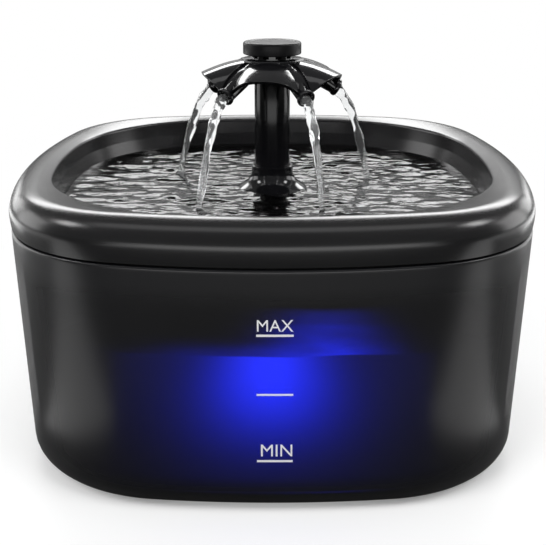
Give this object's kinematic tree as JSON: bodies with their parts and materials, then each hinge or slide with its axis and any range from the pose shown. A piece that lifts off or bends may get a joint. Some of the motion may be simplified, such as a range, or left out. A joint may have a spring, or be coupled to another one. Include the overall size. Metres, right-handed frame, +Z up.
{
  "type": "pet water fountain",
  "caption": "Square-plan water fountain for pets: smoky tank with a pump and blue light, lift-off drinking tray with a rolled rim, and a column whose armed spout head pours jets.",
  "frame": {"origin": "middle of the base, on the surface that the feet stand on", "axes": "+Z up, the lit front of the tank towards -Y, +X to the viewer's right"},
  "size_m": [0.2, 0.2, 0.1522],
  "materials": {
    "smoked_clear": "clear tank plastic with a dark smoke tint, polished",
    "black_gloss": "moulded black plastic, polished",
    "pump_black": "moulded black plastic, fine matt",
    "clear_window": "clear plastic",
    "soft_grey": "soft silicone",
    "soft_black": "black rubber",
    "foam": "open-cell black foam",
    "filter_cloth": "white filter cloth over grains",
    "filter_plastic": "white moulded plastic",
    "core_steel": "stacked steel sheet",
    "copper_wire": "varnished copper winding",
    "magnet_grey": "sintered magnet",
    "ceramic": "ground ceramic pin",
    "bobbin_plastic": "natural plastic former",
    "resin": "cast black resin",
    "board_green": "green circuit board",
    "led_blue": "blue light emitters"
  },
  "bodies": {
    "tank": {"tank": "smoked_clear", "tank_feet": "soft_grey", "cord_notch_grommet": "soft_black", "pump_housing": "pump_black", "suction_cups": "soft_grey", "outlet_seal": "soft_black", "cable_gland": "soft_black", "volute_cover": "pump_black", "rotor_shaft": "ceramic", "shaft_bushes": "soft_black", "stator_core": "core_steel", "coil_bobbin": "bobbin_plastic", "coil_winding": "copper_wire", "potting_plate": "resin", "led_board": "board_green", "leds": "led_blue", "led_window": "clear_window"},
    "impeller": {"impeller": "filter_plastic", "rotor_magnet": "magnet_grey"},
    "intake_cover": {"intake_cover": "pump_black", "prefilter_sponge": "foam"},
    "flow_slide": {"flow_slide": "pump_black"},
    "tray": {"top_tray": "black_gloss"},
    "filter": {"filter_cover": "black_gloss", "filter_frame": "filter_plastic", "filter_pouch": "filter_cloth"},
    "riser": {"riser_tube": "black_gloss"},
    "spout_head": {"spout_head": "black_gloss"},
    "cap": {"spout_cap": "black_gloss", "cap_seal": "soft_black"}
  },
  "joints": [
    {"name": "tray_lift", "type": "slide", "parent": "tank", "child": "tray", "axis": [0, 0, 1], "range_m": [0, 0.08]},
    {"name": "filter_lift", "type": "slide", "parent": "tray", "child": "filter", "axis": [0, 0, 1], "range_m": [0, 0.02]},
    {"name": "riser_pull", "type": "slide", "parent": "tray", "child": "riser", "axis": [0, 0, 1], "range_m": [0, 0.03]},
    {"name": "spout_turn", "type": "hinge", "parent": "riser", "child": "spout_head", "pos_m": [0, 0, 0.142], "axis": [0, 0, 1], "continuous": true},
    {"name": "cap_pull", "type": "slide", "parent": "spout_head", "child": "cap", "axis": [0, 0, 1], "range_m": [0, 0.01]},
    {"name": "impeller_spin", "type": "hinge", "parent": "tank", "child": "impeller", "pos_m": [-0.007, 0, 0.025], "axis": [0, 1, 0], "continuous": true},
    {"name": "intake_cover_pull", "type": "slide", "parent": "tank", "child": "intake_cover", "axis": [0, 1, 0], "range_m": [0, 0.02]},
    {"name": "flow_slide_push", "type": "slide", "parent": "intake_cover", "child": "flow_slide", "axis": [1, 0, 0], "range_m": [0, 0.003]}
  ]
}
